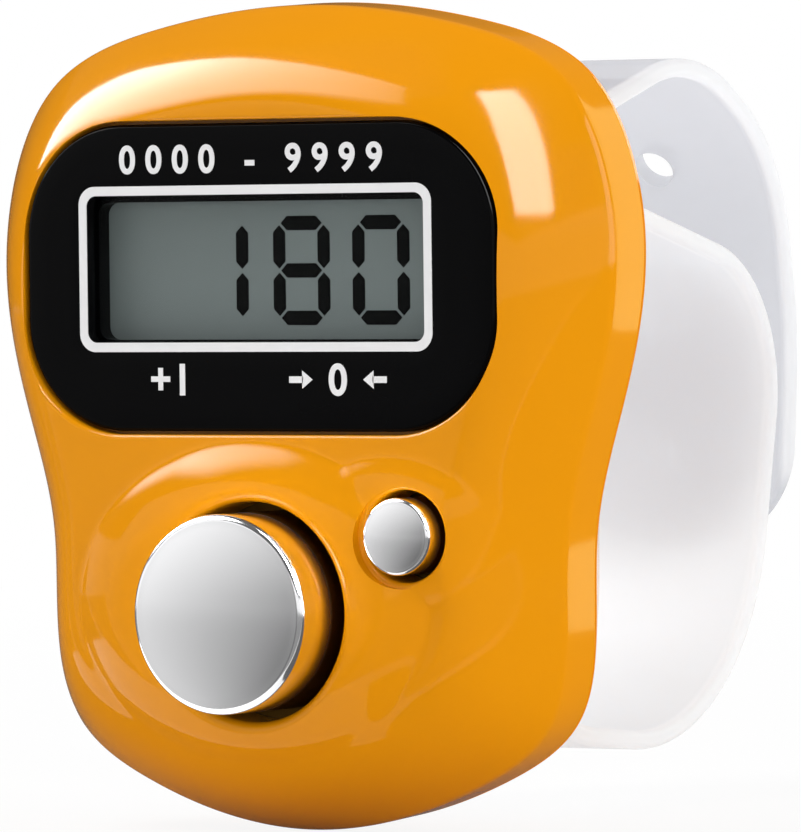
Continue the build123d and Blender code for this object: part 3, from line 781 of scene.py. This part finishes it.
capValues = {
    "countCap": {"node": "count_button", "body": "count_key", "finish": countChrome, "middle": (0.0, -8.47),
                 "radius": 4.55, "proud": 3.8, "dome": 0.30, "edge": 0.32, "flange": 5.7,
                 "flangeRear": 3.05, "post": 2.0},
    "resetCap": {"node": "reset_button", "body": "reset_key", "finish": resetChrome, "middle": (8.09, -4.96),
                 "radius": 1.75, "proud": 1.3, "dome": 0.12, "edge": 0.2, "flange": 2.6,
                 "flangeRear": 2.85, "post": 1.0},
}
capForm = {"flangeFront": 2.25, "end": 3.6, "faceSteps": 14, "split": 3}


def makeCap(name, v, form):
    face, steps = v["radius"] - v["edge"], form["faceSteps"]
    section = [(face * i / steps, -v["proud"] + v["dome"] * (i / steps)**2) for i in range(steps + 1)]
    section += [(face + v["edge"] * out, -v["proud"] + v["dome"] + v["edge"] * down) for out, down in quarter(8)[1:]]
    section += [(v["radius"], -v["proud"] / form["split"]), (v["radius"], form["flangeFront"]),
                (v["flange"], form["flangeFront"]), (v["flange"], v["flangeRear"]),
                (v["post"], v["flangeRear"]), (v["post"], form["end"]), (0, form["end"])]
    finishPiece(name, turned(section, *v["middle"]), v["finish"], v["body"], [v["node"]])


for name, values in capValues.items():
    makeCap(name, values, capForm)
print("caps made")

screwValues = {
    "places": [(-5.1975, 14.193), (5.1975, 14.193), (-8.5965, -10.507), (8.5965, -10.507)],
    "head": 1.1, "edge": 0.15, "shank": 0.5, "rear": 11.9, "seat": 11.2, "tip": 4.2,
    "arm": 0.68, "armHalf": 0.16, "armDepth": 0.4, "armTaper": 0.7, "over": 0.1,
}


# Screws with a cross in the head
def makeScrews(v):
    face = v["head"] - v["edge"]
    section = [(0, v["rear"])] + [(face + v["edge"] * out, v["rear"] - v["edge"] * down) for out, down in quarter(6)]
    section += [(v["head"], v["seat"]), (v["shank"], v["seat"]), (v["shank"], v["tip"]), (0, v["tip"])]
    a, h = v["arm"], v["armHalf"]
    cross = [(h, a), (-h, a), (-h, h), (-a, h), (-a, -h), (-h, -h),
             (-h, -a), (h, -a), (h, -h), (a, -h), (a, h), (h, h)]
    screws, tools = bmesh.new(), []
    for across, up in v["places"]:
        mesh = meshFrom("screw", turned(section, across, up, 48))
        screws.from_mesh(mesh)
        bpy.data.meshes.remove(mesh)
        ends = ((v["rear"] + v["over"], 1), (v["rear"] - v["armDepth"], v["armTaper"]))
        rings = [[place(across + x * size, depth, up + z * size) for x, z in cross] for depth, size in ends]
        tools.append(cutter(ringSkin(rings, closeEnds=True)))
    piece = finishPiece("caseScrews", screws, screwSteel, "housing", ["case_screws"])
    carve(piece, tools)


makeScrews(screwValues)
print("screws made")

domeValues = {
    "countDome": {"node": "count_dome", "key": "count_key", "middle": (0.0, -8.474),
                  "top": 2.3, "neck": 3.3, "foot": 4.2},
    "resetDome": {"node": "reset_dome", "key": "reset_key", "middle": (8.085, -4.959),
                  "top": 1.4, "neck": 2.0, "foot": 2.5},
}
domeForm = {"front": 3.65, "roof": 4.15, "lip": 5.4, "board": 5.8, "wall": 0.45, "steps": 10}


# A rubber dome under its button, its roof towards the key and its foot on the board
def makeDome(name, v, form):
    def slope(first, last):
        return [tuple(Vector(first).lerp(Vector(last), i / form["steps"])) for i in range(form["steps"] + 1)]

    section = [(0, form["front"])] + slope((v["top"], form["front"]), (v["neck"], form["lip"]))
    section += [(v["foot"], form["lip"]), (v["foot"], form["board"])]
    section += slope((v["neck"] - form["wall"], form["board"]), (v["top"] - form["wall"], form["roof"]))
    section.append((0, form["roof"]))
    dome = finishPiece(name, turned(section, *v["middle"], 64), greyRubber)
    place(0, form["board"], 0)
    place(0, form["roof"], 0)
    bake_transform(dome)
    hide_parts(v["node"])


for name, values in domeValues.items():
    makeDome(name, values, domeForm)
print("domes made")

# Each strap follows straight runs and round bends in the side plane, as (depth, up)
strapValues = {
    "width": 12.8, "thick": 0.9, "edge": 0.32, "step": 0.3, "endCorner": 5.0, "endWidth": 0.7,
    "neck": 8.0, "neckRun": 4, "shoulderDepth": 12.6,
    "outer": {"corners": [(10.9, 12.05), (13.2, 12.05), (30.15, 17.22), (38.32, 12.42), (39.77, 3.39), (38.9, -7.0)],
              "radii": [5.0, 9.5, 9.5, 16.0]},
    "inner": {"corners": [(10.9, -12.77), (13.2, -12.77), (18.8, -15.14), (34.27, -16.58), (38.77, 5.93),
                          (20.5, 10.4)],
              "radii": [5.0, 10.0, 11.8, 6.9]},
    "hole": 1.0, "holeReach": 1, "freeHole": (37.49, 11.86), "hinge": (39.11, 7.5), "bendHalf": 2.6,
    "peg": 0.7, "pegTop": 0.45, "pegs": [(0.163, -3.1), (0.68, -2.1)],   # share of the free end, and root
}


def aside(heading):
    return Vector((-heading.y, heading.x))


# Places and headings along the runs and bends
def strapLine(v, step):
    corners = [Vector(c) for c in v["corners"]]
    line, start = [], corners[0]
    for i, radius in enumerate(v["radii"]):
        before = (corners[i + 1] - corners[i]).normalized()
        after = (corners[i + 2] - corners[i + 1]).normalized()
        turn = before.angle_signed(after)
        cut = radius * math.tan(abs(turn) / 2)
        stop = corners[i + 1] - before * cut
        count = max(1, round((stop - start).length / step))
        line += [(start.lerp(stop, n / count), before) for n in range(count)]
        centre = stop + aside(before) * (-1 if turn > 0 else 1) * radius
        count = max(2, round(abs(turn) * radius / step))
        for n in range(count):
            swing = Matrix.Rotation(-turn * n / count, 2)
            line.append((centre + swing @ (stop - centre), (swing @ before).normalized()))
        start = corners[i + 1] + after * cut
    heading = (corners[-1] - corners[-2]).normalized()
    count = max(1, round((corners[-1] - start).length / step))
    line += [(start.lerp(corners[-1], n / count), heading) for n in range(count + 1)]
    return line


def strapSkin(v, line):
    runs = [0]
    for (a, _), (b, _) in zip(line, line[1:]):
        runs.append(runs[-1] + (b - a).length)
    rings = []
    for (spot, heading), run in zip(line, runs):
        width, corner = v["width"], v["endCorner"]
        if spot.x < v["shoulderDepth"] and run < v["neckRun"]:
            width = v["neck"]
        left = runs[-1] - run
        if left < corner:
            width = v["width"] - 2 * (corner - math.sqrt(max(0, corner**2 - (corner - left)**2)))
        out = aside(heading)
        section = roundedBox(max(width, v["endWidth"]), v["thick"], v["edge"], arc=5, side=8)
        rings.append([place(x, spot.x + out.x * n, spot.y + out.y * n) for x, n in section])
    return ringSkin(rings, closeEnds=True)


# A round bar square to the strap at one of its places, as a tool
def strapBar(spot, heading, radius, low, high):
    bm, out = bmesh.new(), aside(heading)
    bmesh.ops.create_cone(bm, cap_ends=True, segments=48, radius1=radius * mm, radius2=radius * mm,
                          depth=(high - low) * mm)
    aim = Vector((0, out.x, out.y)).to_track_quat("Z", "X").to_matrix().to_4x4()
    middle = spot + out * (low + high) / 2
    bmesh.ops.transform(bm, matrix=Matrix.Translation(place(0, middle.x, middle.y)) @ aim, verts=bm.verts)
    return cutter(bm)


def makeStraps(v):
    outerLine = strapLine(v["outer"], v["step"])
    innerLine = strapLine(v["inner"], v["step"])
    outer = finishPiece("strapOuter", strapSkin(v, outerLine), outerStrap)
    inner = finishPiece("strapInner", strapSkin(v, innerLine), innerStrap)
    hinge = Vector(v["hinge"])
    tail = [s for s in outerLine if s[0].y < hinge.y]
    pegs = [tail[round(share * (len(tail) - 1))] for share, root in v["pegs"]]
    free = min(outerLine, key=lambda s: (s[0] - Vector(v["freeHole"])).length)
    carve(outer, [strapBar(*spot, v["hole"], -v["holeReach"], v["holeReach"]) for spot in [free] + pegs])
    bars = [strapBar(*spot, v["peg"], root, v["pegTop"]) for spot, (share, root) in zip(pegs, v["pegs"])]
    carve(inner, bars, "UNION")
    bend = [Vector(corner) for corner in v["outer"]["corners"][3:5]]
    along = (bend[1] - bend[0]).normalized() * v["bendHalf"]
    place(0, *(hinge - along))
    place(0, *(hinge + along))
    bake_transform(outer)
    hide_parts("upper_strap", "strap_tail")
    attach(inner, "housing")
    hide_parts("lower_strap")


makeStraps(strapValues)
print("straps made")

nodeFinishes = {
    "window_lens": clearWindow, "lcd_polarizer": displayFilm, "lcd_front_glass": displayGlass,
    "lcd_rear_glass": displayGlass, "lcd_reflector": displayFilm, "lcd_holder": whiteHolder,
    "zebra_strips": greyRubber, "circuit_board": greenBoard, "chip_blob": blackResin, "smd_parts": chipCeramic,
    "battery": cellSteel, "battery_clip": springSteel, "battery_leaf": springSteel, "count_dome": greyRubber,
    "reset_dome": greyRubber, "count_pill": carbonRubber, "reset_pill": carbonRubber,
    "board_screws": screwSteel, "case_screws": screwSteel,
    "front_shell": orangePlastic, "back_cover": orangePlastic, "display_bezel": blackPanel,
    "count_button": countChrome, "reset_button": resetChrome, "upper_strap": outerStrap, "strap_tail": outerStrap,
    "lower_strap": innerStrap,
}
for name, finish in nodeFinishes.items():
    nodes[name].data.materials.clear()
    nodes[name].data.materials.append(finish)
print("nodes finished")

# The floor turns to plain white from near to far, in metres; air is the strength of the world's light on the part
stageValues = {"floorUp": -18.8, "floorSize": 20.0, "floorWhite": 0.9, "floorColour": 0.8, "air": 0.66,
               "near": 0.06, "far": 0.25}


def setStage(v):
    bm = bmesh.new()
    bmesh.ops.create_grid(bm, x_segments=8, y_segments=8, size=v["floorSize"])
    bmesh.ops.translate(bm, verts=bm.verts, vec=(0, 0, place(0, 0, v["floorUp"]).z))
    made = Finish("paleFloor")
    seen, mirrored, through = made.rays()
    reach = made.node("ShaderNodeVectorMath", {"operation": "LENGTH"}, {0: made.spot()}, "Value")
    far = made.node("ShaderNodeMapRange", {"interpolation_type": "SMOOTHSTEP"},
                    {"Value": reach, "From Min": v["near"], "From Max": v["far"]})
    white = seen * (v["floorWhite"] + (1 - v["floorWhite"]) * far) + (mirrored + through) * far
    share = made.node("ShaderNodeMath", {"operation": "MINIMUM"}, {0: white, 1: 1.0})
    pale = made.node("ShaderNodeBsdfDiffuse", {}, {"Color": (v["floorColour"],) * 3 + (1,)})
    glow = made.node("ShaderNodeEmission", {}, {"Color": (1, 1, 1, 1), "Strength": 1.0})
    made.show(made.node("ShaderNodeMixShader", {}, {0: share, 1: pale, 2: glow}))
    floor = addObject("floor", meshFrom("floor", bm))
    floor.data.materials.append(made.material)

    world = bpy.data.worlds.new("studio")
    bpy.context.scene.world = world
    air = Finish("studio", world)
    seen, mirrored, through = air.rays()
    strength = air.between(seen + through + mirrored, v["air"], 1.0)
    air.show(air.node("ShaderNodeBackground", {}, {"Color": (1, 1, 1, 1), "Strength": strength}))


lampValues = {
    "above": {"from": (-0.42, -0.2, 0.88), "size": (0.40, 0.40), "power": 2.2},
    "right": {"from": (0.93, -0.08, 0.36), "size": (0.30, 0.30), "power": 1.5},
    "behind": {"from": (0.30, 0.94, 0.15), "size": (0.40, 0.40), "power": 1.3},
}


def setLamp(name, v, away=0.70):
    data = bpy.data.lights.new(name, "AREA")
    data.shape = "RECTANGLE"
    data.size, data.size_y = v["size"]
    data.energy = v["power"]
    lamp = addObject(name, data)
    aim = Vector(v["from"]).normalized()
    lamp.location = place(0, 0, 0) + aim * away
    lamp.rotation_euler = aim.to_track_quat("Z", "Y").to_euler()
    lamp.visible_glossy = False


# Cards that only the gloss sees: grey ones all round, bright ones at the upper left and the right.
# Their lower and upper edges are in metres from the middle of the front face. The grey runs along and up
# the card by the shares in run, and fades in from the lower edge over soft.
cardPlain = {"run": (1, 0), "ends": (0, 1), "gain": 1.0, "tint": (1, 1, 1)}
cardValues = {
    "front": {
        "lower": [(-0.447, -0.255, -0.018), (-0.02, -0.514, -0.018)],
        "upper": [(-0.447, -0.255, 0.2), (-0.02, -0.514, 0.2)],
        "run": (-1, 0.73), "ends": (-0.75, 0.044), "greys": (0.306, 1.1)},
    "apron": {
        "lower": [(-0.447, -0.255, -0.0165), (-0.02, -0.514, -0.0165)],
        "upper": [(-0.0126, -0.0113, -0.0165), (-0.0006, -0.0186, -0.0165)],
        "run": (-0.8, -0.2), "ends": (-0.95, -0.05), "greys": (0.097, 0.997)},
    "below": {
        "lower": [(-0.45, -0.45, -0.017), (0.35, -0.45, -0.017)],
        "upper": [(-0.45, -0.013, -0.017), (0.35, -0.013, -0.017)], "greys": (0.28, 0.28)},
    "sill": {
        "lower": [(-0.04, -0.013, -0.0165), (0.006, -0.013, -0.0165)],
        "upper": [(-0.04, -0.001, -0.0165), (0.006, -0.001, -0.0165)],
        "ends": (0.3, 1), "greys": (1.0, 0.4), "gain": 2.4},
    "ground": {
        "lower": [(-0.6, -0.013, -0.01878), (0.6, -0.013, -0.01878)],
        "upper": [(-0.6, 0.6, -0.01878), (0.6, 0.6, -0.01878)], "greys": (0.12, 0.12)},
    "edge": {
        "lower": [(0.56, 0.02, -0.018), (0.47, 0.30, -0.018)],
        "upper": [(0.56, 0.02, 0.45), (0.47, 0.30, 0.45)], "greys": (1.0, 1.0), "gain": 4.0},
    "wall": {
        "lower": [(0.335, 0.371, -0.018), (0.171, 0.47, -0.018)],
        "upper": [(0.335, 0.371, 0.35), (0.171, 0.47, 0.35)],
        "greys": (1.0, 1.0), "gain": 2.3, "tint": (0.9, 1.0, 0.5)},
    "pool": {
        "lower": [(0.080, 0.100, -0.0186), (0.025, 0.130, -0.0186)],
        "upper": [(0.335, 0.371, -0.0186), (0.171, 0.47, -0.0186)],
        "greys": (1.0, 1.0), "gain": 2.3, "tint": (0.9, 1.0, 0.5)},
    "ceiling": {
        "lower": [(-3, -3, 0.72), (3, -3, 0.72)], "upper": [(-3, 3, 0.72), (3, 3, 0.72)], "greys": (0.12, 0.12)},
    "rear": {
        "lower": [(-0.62, 0.0, -0.0165), (-0.55, 0.35, -0.0165), (-0.3, 0.6, -0.0165), (0.1, 0.65, -0.0165),
                  (0.5, 0.5, -0.0165)],
        "upper": [(-0.62, 0.0, 0.3), (-0.55, 0.35, 0.3), (-0.3, 0.6, 0.3), (0.1, 0.65, 0.3), (0.5, 0.5, 0.3)],
        "greys": (0.05, 0.05)},
    "band": {
        "lower": [(-0.577, 0.045, 0.155), (-0.532, -0.133, 0.244), (-0.449, -0.262, 0.298), (-0.364, -0.404, 0.254),
                  (-0.236, -0.408, 0.370), (-0.153, -0.345, 0.466)],
        "upper": [(-0.577, 0.055, 0.158), (-0.501, 0.116, 0.309), (-0.415, 0.119, 0.417), (-0.343, 0.030, 0.492),
                  (-0.230, -0.107, 0.544), (-0.151, -0.180, 0.552)],
        "ends": (0.48, 1.1), "greys": (1.0, 0.02), "gain": 18.0, "soft": 0.35},
    "streak": {
        "lower": [(0.414, -0.396, 0.18), (0.54, -0.204, 0.162)],
        "upper": [(0.03, -0.144, 0.582), (0.156, -0.108, 0.57)],
        "run": (0, 1), "greys": (0.85, 1.0), "gain": 28.0},
}


# A place along a line of points, by its share of the spans
def alongLine(points, share):
    at = share * (len(points) - 1)
    span = min(int(at), len(points) - 2)
    return Vector(points[span]).lerp(Vector(points[span + 1]), at - span)


def setCard(name, v):
    bm = bmesh.new()
    bm.loops.layers.uv.new("card")
    bmesh.ops.create_grid(bm, x_segments=40, y_segments=8, size=0.5, calc_uvs=True)
    for vert in bm.verts:
        across, up = vert.co.x + 0.5, vert.co.y + 0.5
        vert.co = place(0, 0, 0) + alongLine(v["lower"], across).lerp(alongLine(v["upper"], across), up)
    made = Finish(name + "Card")
    spread = made.node("ShaderNodeTexCoord", {}, {}, "UV")
    along = made.node("ShaderNodeVectorMath", {"operation": "DOT_PRODUCT"}, {0: spread, 1: (*v["run"], 0)}, "Value")
    level = made.node("ShaderNodeMapRange", {}, {"Value": along, "From Min": v["ends"][0], "From Max": v["ends"][1]})
    low, high = [(*(grey * part for part in v["tint"]), 1) for grey in v["greys"]]
    colour = made.blendColours(level, low, high)
    if "soft" in v:
        up = made.node("ShaderNodeSeparateXYZ", {}, {0: spread}, "Y")
        rise = made.node("ShaderNodeMapRange", {"interpolation_type": "SMOOTHSTEP"},
                         {"Value": up, "From Max": v["soft"]})
        colour = made.blendColours(rise, (0, 0, 0, 1), colour)
    made.show(made.node("ShaderNodeEmission", {}, {"Color": colour, "Strength": v["gain"]}))
    card = addObject(name, meshFrom(name, bm))
    card.data.materials.append(made.material)
    card.visible_camera = card.visible_diffuse = card.visible_shadow = card.visible_transmission = False


setStage(stageValues)
for name, values in cardValues.items():
    setCard(name, {**cardPlain, **values})
for name, values in lampValues.items():
    setLamp(name, values)
bpy.context.scene.view_settings.view_transform = "Standard"
print("stage set")
